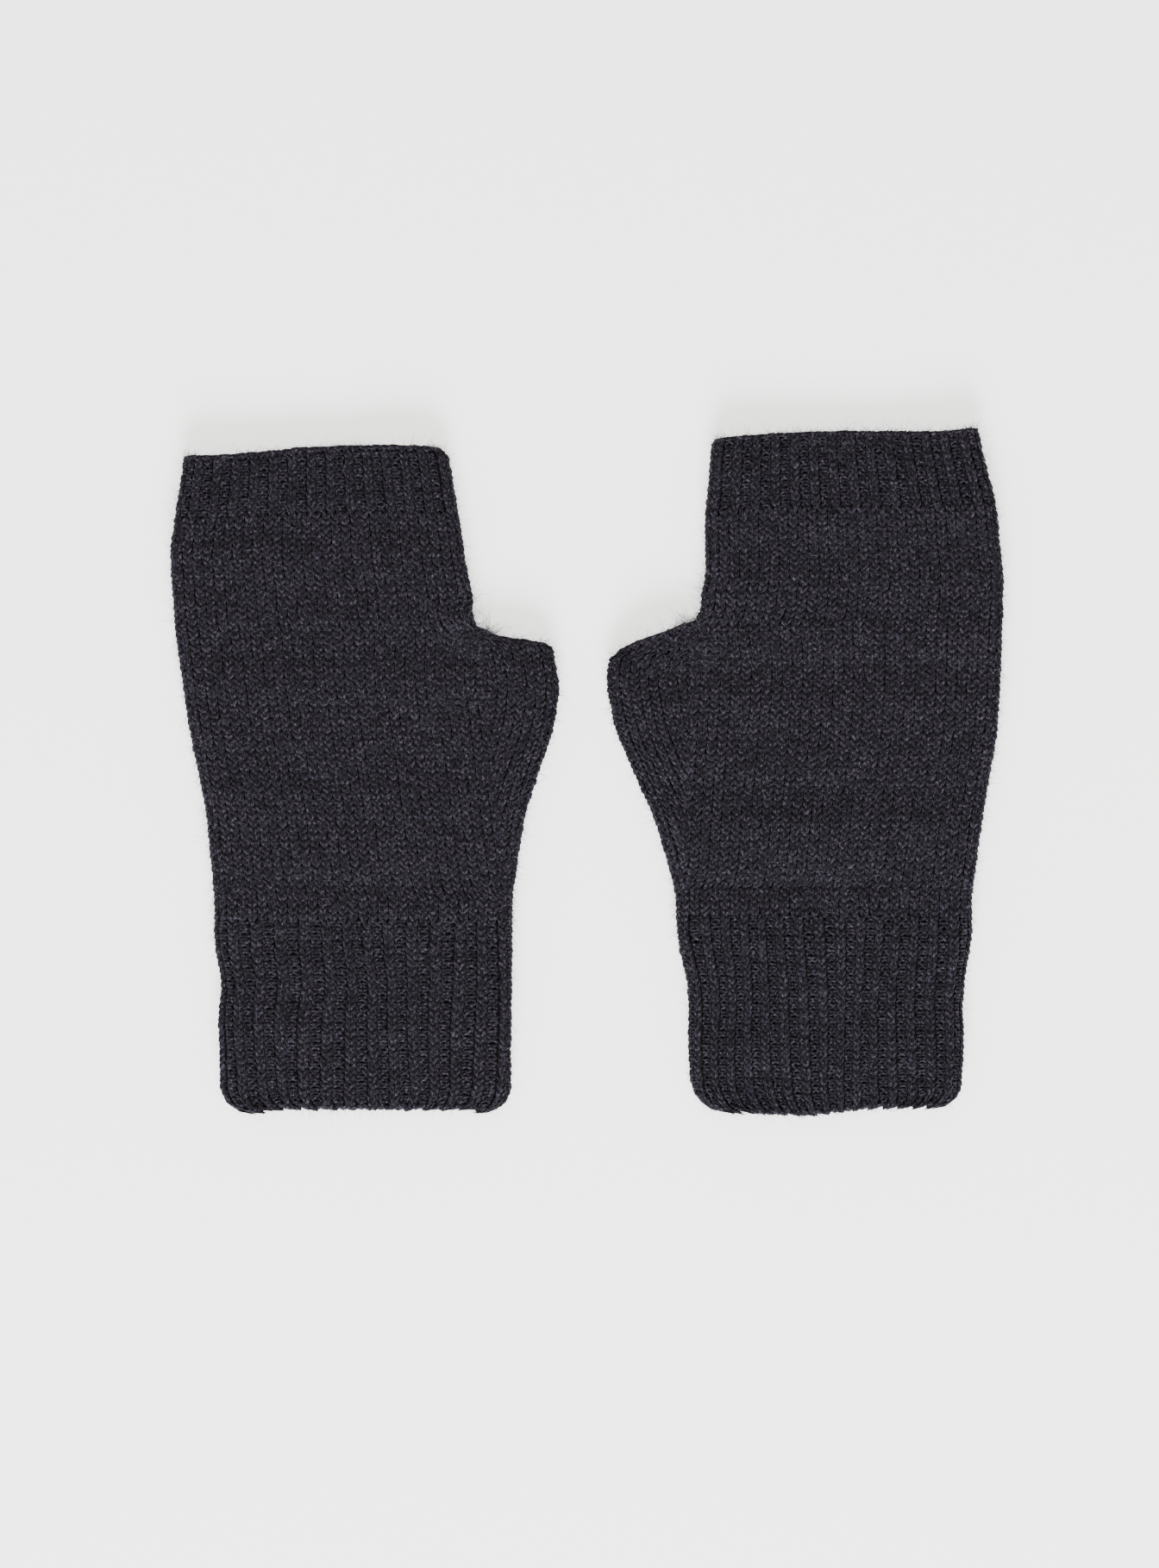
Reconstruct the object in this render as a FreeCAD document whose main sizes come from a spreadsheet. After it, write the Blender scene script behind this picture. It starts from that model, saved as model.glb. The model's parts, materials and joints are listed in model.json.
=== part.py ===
"""A pair of knitted fingerless gloves, laid flat side by side, palms down.

Each glove is a flattened tube of knitting: a ribbed cuff, a plain hand with a thumb gusset, and a
ribbed band round the fingers. Millimetres, +Z up, fingers towards +Y, resting on Z = 0.

Each glove is drawn in its own frame: X runs from the little-finger edge towards the thumb, and Y
from the cuff's lower edge towards the fingers. The right glove is the same article turned over,
so its bodies are turned half a turn about Y.
"""
import FreeCAD
import Part
import os
import Sketcher

# One row for each driving size: name, left glove, right glove. Heights are steps up the glove.
# An inset or a reach is measured across the glove from its outermost little-finger edge.
GLOVE_SIZES = [
    ("cuff_length", 56.0, 57.5),        # lower edge to the middle of the wrist bend
    ("palm_length", 84.0, 84.5),        # wrist to the fork of the thumb
    ("knuckle_length", 34.0, 34.0),     # fork to the finger band
    ("band_length", 19.5, 22.5),        # finger band with its bound edge
    ("heel_rise", 31.0, 28.5),          # wrist to the heel of the hand
    ("swell_rise", 56.0, 53.5),         # wrist to where the thumb swells
    ("full_rise", 68.5, 68.5),          # wrist to the widest place over the thumb
    ("tip_rise", 79.0, 75.5),           # wrist to the outer end of the thumb opening
    ("knuckle_rise", 22.0, 13.0),       # fork to the widest place over the knuckles
    ("cuff_inset", 14.75, 12.25),
    ("cuff_width", 84.5, 78.25),
    ("wrist_inset", 13.0, 9.0),
    ("wrist_width", 86.5, 86.0),
    ("heel_inset", 10.5, 6.0),
    ("heel_reach", 103.25, 101.25),
    ("swell_inset", 5.5, 2.0),
    ("swell_reach", 111.0, 111.75),
    ("full_reach", 112.5, 114.75),      # the glove's whole width, over the thumb
    ("tip_reach", 110.5, 113.5),
    ("fork_inset", 1.5, 0.5),
    ("fork_reach", 89.75, 89.75),
    ("knuckle_width", 85.25, 86.0),
    ("band_inset", 1.5, 2.0),
    ("band_width", 82.0, 84.0),
    ("top_inset", 4.0, 7.0),
    ("top_width", 77.0, 77.5),
]
SHARED_SIZES = [
    ("lay_height", 11.0),               # thickness of a glove as it lies
    ("table_press", 0.15),              # how far the round tube is pressed flat, above and below
    ("plain_wall", 2.4),
    ("rib_wall", 2.9),
    ("edge_wall", 3.2),
    ("cuff_roll", 4.0),                 # height of the cast-on edge
    ("bind_off", 3.0),                  # height of the bound edges
    ("bend_zone", 12.0),                # the stretch of knitting that bends at a fold
    ("join_length", 5.0),               # grafted stitches in the fork of the thumb
    ("join_reach", 3.0),                # how far they run on past the fork
    ("stall_rise", 34.0),               # wrist to the lower end of the thumb stall
    ("pair_gap", 14.0),                 # between the two thumbs
]
CLEAR = 60.0                            # how far a cutting outline runs past the glove

doc = FreeCAD.newDocument("fingerless_gloves")
sheet = doc.addObject("Spreadsheet::Sheet", "sizes")


def fill_sheet():
    """Writes each driving size to the sheet, with its name as the cell's alias."""
    rows = list(SHARED_SIZES)
    for name, left, right in GLOVE_SIZES:
        rows += [("left_" + name, left), ("right_" + name, right)]
    for row, (name, value) in enumerate(rows, start=1):
        sheet.set(f"A{row}", name)
        sheet.set(f"B{row}", str(value))
        sheet.setAlias(f"B{row}", name)
    doc.recompute()


def number(expression):
    """What an expression comes to with the sizes in the sheet."""
    return float(sheet.evalExpression(expression))


def bound(expression):
    """The same expression as another object of the document reads it."""
    words = expression.replace("(", " ( ").replace(")", " ) ").split()
    return " ".join("sizes." + w if w[0].isalpha() else w for w in words)


def constrain(sketch, kind, *where):
    """Adds a size to a sketch and ties it to its expression, which comes last."""
    *where, expression = where
    index = sketch.addConstraint(Sketcher.Constraint(kind, *where, number(expression)))
    sketch.setExpression(f"Constraints[{index}]", bound(expression))


def place_point(sketch, geometry, position, across, up):
    """Puts one point of a sketch at two expressions, from the sketch's origin."""
    constrain(sketch, "DistanceX", -1, 1, geometry, position, across)
    constrain(sketch, "DistanceY", -1, 1, geometry, position, up)


class Glove:
    """One glove: its name, and the expressions of its heights and edges."""

    def __init__(self, side):
        self.side = side
        self.wrist = self.size("cuff_length")
        self.fork = f"{self.wrist} + {self.size('palm_length')}"
        self.knuckle = f"{self.fork} + {self.size('knuckle_rise')}"
        self.band = f"{self.fork} + {self.size('knuckle_length')}"
        self.top = f"{self.band} + {self.size('band_length')}"
        self.wrist_edge = f"{self.size('wrist_inset')} + {self.size('wrist_width')}"

    def size(self, name):
        return f"{self.side}_{name}"

    def above_wrist(self, name):
        return f"{self.wrist} + {self.size(name)}"

    def fold_line(self, height):
        """Where the line that the thumb folds about crosses a height: wrist edge to fork."""
        drop = f"( {self.wrist_edge} - {self.size('fork_reach')} )"
        return (f"{self.wrist_edge} - {drop} * ( {height} - {self.wrist} )"
                f" / {self.size('palm_length')}")

    def opening(self, across):
        """The height of the thumb opening's edge at a place across the glove."""
        run = f"( {self.size('tip_reach')} - {self.size('fork_reach')} )"
        fall = f"( {self.size('palm_length')} - {self.size('tip_rise')} )"
        return f"{self.fork} - {fall} * ( {across} - {self.size('fork_reach')} ) / {run}"


def new_body(glove, name):
    """A body named after its piece, placed where its glove lies in the pair."""
    label = f"{glove.side}_{name}"
    body = doc.addObject("PartDesign::Body", label)
    body.Label = label
    span = "( left_full_reach + pair_gap + right_full_reach ) / 2"
    middle = "( right_cuff_length + right_palm_length + right_knuckle_length + right_band_length ) / 2"
    if glove.side == "left":
        body.setExpression("Placement.Base.x", bound("0 - " + span))
    else:
        body.Placement.Rotation = FreeCAD.Rotation(FreeCAD.Vector(0, 1, 0), 180)
        body.setExpression("Placement.Base.x", bound(span))
        body.setExpression("Placement.Base.z", bound("lay_height"))
    body.setExpression("Placement.Base.y", bound("0 - " + middle))
    return body


def new_sketch(body, name, plane, offset):
    """A sketch on one of the body's own planes, moved along that plane's normal."""
    sketch = body.newObject("Sketcher::SketchObject", f"{body.Name}_{name}")
    origin = next(f for f in body.Origin.OriginFeatures if f.Role == plane)
    sketch.AttachmentSupport = [(origin, "")]
    sketch.MapMode = "FlatFace"
    sketch.setExpression("AttachmentOffset.Base.z", bound(offset))
    return sketch


def slot_sketch(body, name, height, left, right, radius):
    """A section across the tube: two half rounds and two flats, between two round centres."""
    sketch = new_sketch(body, name, "XZ_Plane", f"0 - ( {height} )")
    low, high, middle, r = (number(e) for e in (left, right, "lay_height / 2", radius))
    up = FreeCAD.Vector(0, 0, 1)
    quarter = 1.5707963267948966
    points = [(low, middle + r), (high, middle + r), (high, middle - r), (low, middle - r)]
    a, b, c, d = (FreeCAD.Vector(x, z, 0) for x, z in points)
    right_round = Part.Circle(FreeCAD.Vector(high, middle, 0), up, r)
    left_round = Part.Circle(FreeCAD.Vector(low, middle, 0), up, r)
    sketch.addGeometry([
        Part.LineSegment(b, a),
        Part.ArcOfCircle(left_round, quarter, 3 * quarter),
        Part.LineSegment(d, c),
        Part.ArcOfCircle(right_round, -quarter, quarter),
    ])
    for first in range(4):
        sketch.addConstraint(Sketcher.Constraint("Tangent", first, 2, (first + 1) % 4, 1))
    sketch.addConstraint(Sketcher.Constraint("Equal", 1, 3))
    place_point(sketch, 1, 3, left, "lay_height / 2")
    place_point(sketch, 3, 3, right, "lay_height / 2")
    constrain(sketch, "Radius", 1, radius)
    return sketch


def loft(body, kind, sections, stations, radius):
    """Lofts a slot through the stations, each (height, left edge, right edge)."""
    sketches = []
    for n, (height, left, right) in enumerate(stations):
        centre_left = f"{left} + lay_height / 2 + table_press"
        centre_right = f"{right} - lay_height / 2 - table_press"
        sketches.append(
            slot_sketch(body, f"{sections}_{n}", height, centre_left, centre_right, radius))
    feature = body.newObject(kind, f"{body.Name}_{sections}")
    feature.Profile = sketches[0]
    feature.Sections = sketches[1:]
    feature.Ruled = True
    doc.recompute()
    return feature


def outline(body, name, offset, points):
    """A closed sketch of straight sides on a level plane, each point two expressions."""
    sketch = new_sketch(body, name, "XY_Plane", offset)
    corners = [FreeCAD.Vector(number(x), number(y), 0) for x, y in points]
    ends = corners[1:] + corners[:1]
    sketch.addGeometry([Part.LineSegment(a, b) for a, b in zip(corners, ends)])
    for n, (x, y) in enumerate(points):
        sketch.addConstraint(Sketcher.Constraint("Coincident", n, 2, (n + 1) % len(points), 1))
        place_point(sketch, n, 1, x, y)
    return sketch


def cut(body, name, points, offset="0", upwards=True):
    """Cuts an outline away, upwards or downwards from its plane, and checks that it cut."""
    before = body.Shape.Volume
    pocket = body.newObject("PartDesign::Pocket", f"{body.Name}_{name}")
    pocket.Profile = outline(body, name + "_outline", offset, points)
    pocket.Type = "ThroughAll"
    pocket.Reversed = upwards
    doc.recompute()
    if not body.Shape.Volume < before - 1e-6:
        raise RuntimeError(f"{pocket.Name} cuts nothing")
    return pocket


def whole_plan(low, high):
    """A rectangle over the whole glove between two heights."""
    far = f"left_full_reach + right_full_reach + {CLEAR}"
    return [("0", low), (far, low), (far, high), ("0", high)]


def tube(glove, name, stations, wall):
    """A flattened tube of knitting through the stations, pressed flat above and below."""
    body = new_body(glove, name)
    loft(body, "PartDesign::AdditiveLoft", "outside", stations, "lay_height / 2 + table_press")
    loft(body, "PartDesign::SubtractiveLoft", "inside", stations, f"lay_height / 2 - {wall}")
    low, high = stations[0][0], stations[-1][0]
    cut(body, "under", whole_plan(low, high), "0", upwards=False)
    cut(body, "over", whole_plan(low, high), "lay_height")
    return body


def cuff_parts(glove):
    """The ribbed cuff, its cast-on edge, and the knitting that bends at the wrist."""
    left = glove.size("cuff_inset")
    right = f"{left} + {glove.size('cuff_width')}"
    wrist_left = glove.size("wrist_inset")
    below = f"{glove.wrist} - bend_zone / 2"
    above = f"{glove.wrist} + bend_zone / 2"
    tube(glove, "cuff_edge", [("0", left, right), ("cuff_roll", left, right)], "edge_wall")
    tube(glove, "cuff", [
        ("cuff_roll", left, right),
        (below, wrist_left, glove.wrist_edge),
    ], "rib_wall")
    tube(glove, "wrist_knit", [
        (below, wrist_left, glove.wrist_edge),
        (above, wrist_left, glove.wrist_edge),
    ], "plain_wall")


def hand_stations(glove):
    """Heights and edges of the hand tube, from the wrist bend to the finger band."""
    wrist_top = f"{glove.wrist} + bend_zone / 2"
    heel, swell = glove.above_wrist("heel_rise"), glove.above_wrist("swell_rise")
    return [
        (wrist_top, glove.size("wrist_inset"), glove.fold_line(wrist_top)),
        (heel, glove.size("heel_inset"), glove.fold_line(heel)),
        (swell, glove.size("swell_inset"), glove.fold_line(swell)),
        (glove.fork, glove.size("fork_inset"), glove.size("fork_reach")),
        (glove.knuckle, "0", glove.size("knuckle_width")),
        (glove.band, glove.size("band_inset"),
         f"{glove.size('band_inset')} + {glove.size('band_width')}"),
    ]


def hand_parts(glove):
    """The palm and back of the hand, open along the thumb's fold line below the fork."""
    stations = hand_stations(glove)
    low, high = stations[0][0], stations[-1][0]
    window = [
        (f"{glove.fold_line(low)} - bend_zone / 2", low),
        (f"{glove.fold_line(low)} + {CLEAR}", low),
        (f"{glove.fold_line(low)} + {CLEAR}", glove.fork),
        (f"{glove.size('fork_reach')} - bend_zone / 2", glove.fork),
    ]
    for name in ("palm_panel", "back_panel"):
        panel = tube(glove, name, stations, "plain_wall")
        cut(panel, "thumb_window", window)
        keeps_top = (name == "back_panel") == (glove.side == "left")
        cut(panel, "half", whole_plan(low, high), "lay_height / 2", upwards=not keeps_top)


def finger_parts(glove):
    """The ribbed finger band and its bound edge."""
    left = glove.size("band_inset")
    right = f"{left} + {glove.size('band_width')}"
    top_left = glove.size("top_inset")
    top_right = f"{top_left} + {glove.size('top_width')}"
    band_top = f"{glove.top} - bind_off"
    tube(glove, "finger_band", [
        (glove.band, left, right),
        (band_top, top_left, top_right),
    ], "rib_wall")
    tube(glove, "finger_edge", [
        (band_top, top_left, top_right),
        (glove.top, top_left, top_right),
    ], "edge_wall")


def thumb_tube(glove, name, wall, start):
    """The tube over the thumb, from a place beside its fold line out to its folded edge.

    The cut takes its inner side away, so that it is open to the hand.
    """
    low = f"{glove.wrist} + bend_zone / 2"
    heel, swell = glove.above_wrist("heel_rise"), glove.above_wrist("swell_rise")
    full, tip = glove.above_wrist("full_rise"), glove.above_wrist("tip_rise")
    high = f"{glove.fork} + bind_off"
    inner = "bend_zone / 2 + lay_height"
    reaches = [
        (low, glove.wrist_edge),
        (heel, glove.size("heel_reach")),
        (swell, glove.size("swell_reach")),
        (full, glove.size("full_reach")),
        (tip, glove.size("tip_reach")),
        (high, glove.size("tip_reach")),
    ]
    stations = [(h, f"{glove.fold_line(h)} - ( {inner} )", reach) for h, reach in reaches]
    body = tube(glove, name, stations, wall)
    cut(body, "inner_side", [
        ("0", low),
        (f"{glove.fold_line(low)} {start}", low),
        (f"{glove.fold_line(high)} {start}", high),
        ("0", high),
    ])
    return body


def above_opening(glove, drop):
    """The plan of everything above the thumb opening, lowered by a drop."""
    far = f"{glove.size('full_reach')} + {CLEAR}"
    fork = glove.size("fork_reach")
    ceiling = f"{glove.fork} + {CLEAR}"
    return [
        (fork, f"{glove.fork} - {drop}"),
        (far, f"{glove.opening(far)} - {drop}"),
        (far, ceiling),
        (fork, ceiling),
    ]


def thumb_parts(glove):
    """The gusset that bends beside the hand, the thumb stall, its bound edge and the fork."""
    beside = "+ bend_zone / 2"
    stall_low = f"{glove.wrist} + stall_rise"
    low = f"{glove.wrist} + bend_zone / 2"
    far = f"{glove.size('full_reach')} + {CLEAR}"
    ceiling = f"{glove.fork} + {CLEAR}"

    stall = thumb_tube(glove, "thumb_stall", "plain_wall", beside)
    cut(stall, "opening", above_opening(glove, "bind_off"))
    cut(stall, "gusset_side", whole_plan(low, stall_low))

    edge = thumb_tube(glove, "thumb_edge", "edge_wall", beside)
    cut(edge, "opening", above_opening(glove, "0"))
    fork = glove.size("fork_reach")
    cut(edge, "stall_side", [
        (fork, low),
        (far, low),
        (far, f"{glove.opening(far)} - bind_off"),
        (fork, f"{glove.fork} - bind_off"),
    ])

    gusset = thumb_tube(glove, "thumb_gusset", "plain_wall", "- bend_zone / 2")
    cut(gusset, "opening", above_opening(glove, "0"))
    cut(gusset, "hand_side", [("0", glove.fork), (fork, glove.fork), (fork, ceiling), ("0", ceiling)])
    cut(gusset, "stall_side", [
        (f"{glove.fold_line(stall_low)} {beside}", stall_low),
        (far, stall_low),
        (far, ceiling),
        (f"{glove.fold_line('( ' + ceiling + ' )')} {beside}", ceiling),
    ])
    fork_join(glove)


def fork_join(glove):
    """The grafted stitches that join palm and back in the fork between thumb and hand."""
    body = new_body(glove, "fork_join")
    fork = glove.size("fork_reach")
    low = f"{glove.fork} - join_length"
    pad = body.newObject("PartDesign::Pad", f"{body.Name}_pad")
    pad.Profile = outline(body, "plan", "plain_wall", [
        (f"{fork} - join_length", glove.fork),
        (f"{fork} - join_length / 2", low),
        (f"{fork} + join_reach / 2", low),
        (f"{fork} + join_reach", glove.opening(f"( {fork} + join_reach )")),
        (fork, glove.fork),
    ])
    pad.setExpression("Length", bound("lay_height - 2 * plain_wall"))
    doc.recompute()


def check_document():
    """Stops on any object that failed, and on any piece that isn't a valid closed solid."""
    doc.recompute()
    failed = [o.Name for o in doc.Objects if {"Invalid", "Error"} & set(o.State)]
    bodies = [o for o in doc.Objects if o.TypeId == "PartDesign::Body"]
    for body in bodies:
        shape = body.Shape
        if shape.isNull() or not shape.isValid() or not shape.Solids:
            failed.append(body.Label)
    if failed:
        raise RuntimeError(f"these didn't build: {sorted(set(failed))}")
    return bodies


def main():
    fill_sheet()
    for side in ("left", "right"):
        glove = Glove(side)
        cuff_parts(glove)
        hand_parts(glove)
        finger_parts(glove)
        thumb_parts(glove)
    bodies = check_document()
    os.makedirs("parts", exist_ok=True)
    for body in bodies:
        body.Shape.exportStep(f"parts/{body.Label}.step")
        box = body.Shape.BoundBox
        print(f"{body.Label:22s} {len(body.Shape.Solids)} solid(s) {body.Shape.Volume:9.1f} mm3  "
              f"X {box.XMin:7.2f} {box.XMax:7.2f}  Y {box.YMin:7.2f} {box.YMax:7.2f}  "
              f"Z {box.ZMin:6.2f} {box.ZMax:6.2f}")


main()
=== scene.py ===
import json
import math

import bmesh
import bpy
import numpy as np
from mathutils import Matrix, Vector


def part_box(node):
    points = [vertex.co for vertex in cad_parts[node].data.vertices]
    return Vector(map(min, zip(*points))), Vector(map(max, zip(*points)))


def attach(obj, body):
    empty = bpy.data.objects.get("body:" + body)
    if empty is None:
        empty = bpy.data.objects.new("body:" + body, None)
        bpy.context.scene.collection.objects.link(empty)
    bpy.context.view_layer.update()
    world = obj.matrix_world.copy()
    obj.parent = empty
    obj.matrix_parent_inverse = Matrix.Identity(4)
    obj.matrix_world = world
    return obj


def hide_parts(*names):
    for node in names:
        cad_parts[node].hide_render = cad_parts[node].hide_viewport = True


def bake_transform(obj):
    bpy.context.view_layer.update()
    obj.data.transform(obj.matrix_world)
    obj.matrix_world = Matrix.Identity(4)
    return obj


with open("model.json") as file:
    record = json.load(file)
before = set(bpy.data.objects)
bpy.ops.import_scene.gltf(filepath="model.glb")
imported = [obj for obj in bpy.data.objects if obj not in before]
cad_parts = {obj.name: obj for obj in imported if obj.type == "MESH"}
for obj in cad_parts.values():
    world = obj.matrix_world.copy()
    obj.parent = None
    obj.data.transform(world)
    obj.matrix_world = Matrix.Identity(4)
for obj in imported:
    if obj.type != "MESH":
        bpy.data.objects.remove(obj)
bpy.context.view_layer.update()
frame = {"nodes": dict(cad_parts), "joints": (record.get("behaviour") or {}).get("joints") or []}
mm = 0.001


def say(stage):
    print("gloves:", stage, flush=True)


# tones run from painted shade in the gaps between the fibres, through the yarn's own charcoal, to a painted
# glint on the lightest fibre, each at its place on the height
yarn = {"tonesAndPaintedLight": [(0.0008, 0.0006, 0.0010), (0.0058, 0.0043, 0.0072), (0.0196, 0.0158, 0.0235),
                   (0.072, 0.060, 0.084)],
        "places": (0.40, 0.49, 0.56, 0.66), "sheen": 0.045, "roughness": (0.78, 0.97),
        "bump": 0.7, "bumpDepth": 0.2}
# loose fibres take the yarn's finish with lighter tones, the lightest being painted glints of lit fibres
fibre = {**yarn, "sheen": 0.08,
         "tonesAndPaintedLight": [(0.012, 0.0105, 0.0145), (0.036, 0.033, 0.042), (0.09, 0.085, 0.102), (0.26, 0.25, 0.28)]}
# the purl side's tones sit below the yarn's: the inner side's own colour, darkened as painted shade for the
# gaps between the legs
purl = {"tonesAndPaintedLight": [(0.0008, 0.0007, 0.001), (0.004, 0.0034, 0.005), (0.015, 0.013, 0.018)],
        "places": (0.2, 0.5, 1.0), "roughness": (0.85, 0.98), "bump": 0.8, "bumpDepth": 0.5,
        "tuftShare": 0.5, "wobble": 0.7}
wool = {"gloss": 0.12, "tuftScale": 1300, "spunScale": 5.0, "spunStretch": 0.25, "spunShare": 0.8,
        "stitchesApart": 60, "sheenTint": (0.75, 0.73, 0.85), "sheenRoughness": 0.5}


def newMaterial(name):
    material = bpy.data.materials.new(name)
    material.use_nodes = True
    return material, material.node_tree.nodes, material.node_tree.links


def attribute(nodes, name, output):
    node = nodes.new("ShaderNodeAttribute")
    node.attribute_name = name
    return node.outputs[output]


def arithmetic(nodes, links, operation, *terms):
    # each term is another node's output or a plain number
    node = nodes.new("ShaderNodeMath")
    node.operation = operation
    for entry, term in zip(node.inputs, terms):
        if isinstance(term, bpy.types.NodeSocket):
            links.new(term, entry)
        else:
            entry.default_value = term
    return node.outputs[0]


def tufts(nodes, links):
    # fibres finer than a strand, the same size everywhere on the glove
    noise = nodes.new("ShaderNodeTexNoise")
    noise.inputs["Scale"].default_value = wool["tuftScale"]
    noise.inputs["Detail"].default_value = 2
    links.new(nodes.new("ShaderNodeTexCoord").outputs["Object"], noise.inputs["Vector"])
    return noise.outputs["Fac"]


def ramp(nodes, links, source, stops):
    node = nodes.new("ShaderNodeValToRGB")
    node.color_ramp.elements[0].position = stops[0][0]
    node.color_ramp.elements[0].color = (*stops[0][1], 1)
    node.color_ramp.elements[1].position = stops[-1][0]
    node.color_ramp.elements[1].color = (*stops[-1][1], 1)
    for place, colour in stops[1:-1]:
        node.color_ramp.elements.new(place).color = (*colour, 1)
    links.new(source, node.inputs["Fac"])
    return node.outputs["Color"]


def woollySurface(nodes, links, height, finish):
    # colour, roughness and bump all follow one height: the low parts carry painted shade in the gaps, the
    # high parts the finish's lightest tone, for the yarn and the loose fibres a painted glint
    shader = nodes["Principled BSDF"]
    shader.inputs["Specular IOR Level"].default_value = wool["gloss"]
    stops = list(zip(finish["places"], finish["tonesAndPaintedLight"]))
    links.new(ramp(nodes, links, height, stops), shader.inputs["Base Color"])
    rough = nodes.new("ShaderNodeMapRange")
    rough.inputs["To Min"].default_value, rough.inputs["To Max"].default_value = finish["roughness"]
    links.new(height, rough.inputs["Value"])
    links.new(rough.outputs["Result"], shader.inputs["Roughness"])
    bump = nodes.new("ShaderNodeBump")
    bump.inputs["Strength"].default_value = finish["bump"]
    bump.inputs["Distance"].default_value = finish["bumpDepth"] * mm
    links.new(height, bump.inputs["Height"])
    links.new(bump.outputs["Normal"], shader.inputs["Normal"])


def woolYarn(name, finish):
    # spun fibres run along the yarn: noise stretched along its strand, another for each stitch
    material, nodes, links = newMaterial(name)
    shader = nodes["Principled BSDF"]
    shader.inputs["Sheen Weight"].default_value = finish["sheen"]
    shader.inputs["Sheen Roughness"].default_value = wool["sheenRoughness"]
    shader.inputs["Sheen Tint"].default_value = (*wool["sheenTint"], 1)
    stretch = nodes.new("ShaderNodeMapping")
    stretch.inputs["Scale"].default_value = (wool["spunStretch"], 1, 1)
    links.new(attribute(nodes, "strand", "Vector"), stretch.inputs["Vector"])
    spun = nodes.new("ShaderNodeTexNoise")
    spun.noise_dimensions = "4D"
    spun.inputs["Scale"].default_value = wool["spunScale"]
    spun.inputs["Detail"].default_value = 2
    links.new(stretch.outputs["Vector"], spun.inputs["Vector"])
    shade = attribute(nodes, "shade", "Fac")
    links.new(arithmetic(nodes, links, "MULTIPLY", shade, wool["stitchesApart"]), spun.inputs["W"])
    share = wool["spunShare"]
    both = arithmetic(nodes, links, "MULTIPLY_ADD", spun.outputs["Fac"], share, tufts(nodes, links))
    height = arithmetic(nodes, links, "MULTIPLY", both, 1 / (1 + share))
    woollySurface(nodes, links, height, finish)
    return material


def purlSideAndGapShade(name, finish):
    # the inner side shows rows of purl bumps, counted in stitches by the lining's own attribute; its tones
    # are darker than the yarn's, painted shade where it shows through the gaps between the legs
    material, nodes, links = newMaterial(name)
    waves = []
    for direction in ("X", "Y"):
        wave = nodes.new("ShaderNodeTexWave")
        wave.bands_direction = direction
        wave.inputs["Scale"].default_value = math.pi / 10  # one band for each stitch
        wave.inputs["Distortion"].default_value = finish["wobble"]
        wave.inputs["Detail"].default_value = 1
        links.new(attribute(nodes, "strand", "Vector"), wave.inputs["Vector"])
        waves.append(wave.outputs["Fac"])
    bumps = arithmetic(nodes, links, "MULTIPLY", *waves)
    height = arithmetic(nodes, links, "MULTIPLY_ADD", tufts(nodes, links), finish["tuftShare"], bumps)
    woollySurface(nodes, links, height, finish)
    return material


# the yarn carries painted gap shade and painted glints, the loose fibres painted glints, the lining painted
# shade
yarnMaterial = woolYarn("charcoal wool yarn", yarn)
fuzzGlintMaterial = woolYarn("loose wool fibre", fibre)
liningShadeMaterial = purlSideAndGapShade("wool's purl side", purl)


# each glove: which way the thumb points, wales and ribs across one face, and how it lies, in millimetres
gloves = {
    "left": {"turn": 1, "handWales": 31, "cuffRibs": 14, "bandRibs": 15, "seed": 11,
             "corners": [  # edge, which way it is cut back, at which end, radius
                 ("pinky", 1, "cuff", 8.0), ("cuffRight", -1, "cuff", 8.0),
                 ("handRight", -1, "fingers", 4.5), ("thumbRight", -1, "thumb", 2.4)],
             "dents": [  # edge, up from the cuff, reach up, depth
                 ("pinky", 38, 7, 1.5), ("handRight", 170, 22, -0.5), ("thumbRight", 118, 22, -0.8)],
             "hemRise": [(16, 0.2), (26, 0.1), (32, 1.1), (86, 1.0), (91, 0.1)],
             "crotch": 1.7, "thumbSlope": 0.115,
             "topDip": [(0, 3.0), (12, 3.2), (22, 2.3), (40, 0.7), (54, 0.0), (72, 0.2), (84, 1.0)],
             # across from the little-finger edge, up from the cuff, reach across, reach up, rise, lean
             "rumples": [
                 (52, 66, 30, 3.0, -0.9, 0.02),
                 (60, 78, 34, 8.0, 0.7, 0.05),
                 (98, 103, 1.3, 26, 0.8, 0.0)]},
    "right": {"turn": -1, "handWales": 31, "cuffRibs": 16, "bandRibs": 15, "seed": 23,
              "corners": [
                  ("pinky", 1, "cuff", 7.0), ("cuffRight", -1, "cuff", 10.0),
                  ("handRight", -1, "fingers", 2.0), ("thumbRight", -1, "thumb", 2.4)],
              "dents": [
                  ("pinky", 34, 12, 1.4), ("pinky", 120, 35, -0.5), ("handRight", 170, 30, -0.6),
                  ("thumbRight", 112, 25, -0.9), ("cuffRight", 35, 12, 1.8)],
              "hemRise": [(18, 1.7), (33, 1.5), (43, 0.8), (50, 0.0), (56, -0.7), (68, -0.3), (80, 0.2)],
              "crotch": 0.9, "thumbSlope": 0.367,
              "topDip": [(0, 0.0), (9, 0.0), (18, 1.1), (46, 0.9), (66, 1.6), (78, 2.6), (92, 3.9)],
              "rumples": [
                  (60, 66, 26, 3.2, -1.7, -0.06),
                  (62, 79, 34, 9.0, 1.3, -0.05),
                  (86, 98, 14, 14, 0.7, 0.3)]},
}

# the outline is read from the CAD by rays a step apart, kept an inset inside each node, and then smoothed
survey = {"margin": 6, "step": 0.5, "inset": 0.3, "clear": 0.5, "farOut": 300,
          "smooth": {"pinky": 10, "handRight": 8, "thumbRight": 12, "cuffRight": 8}}

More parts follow.
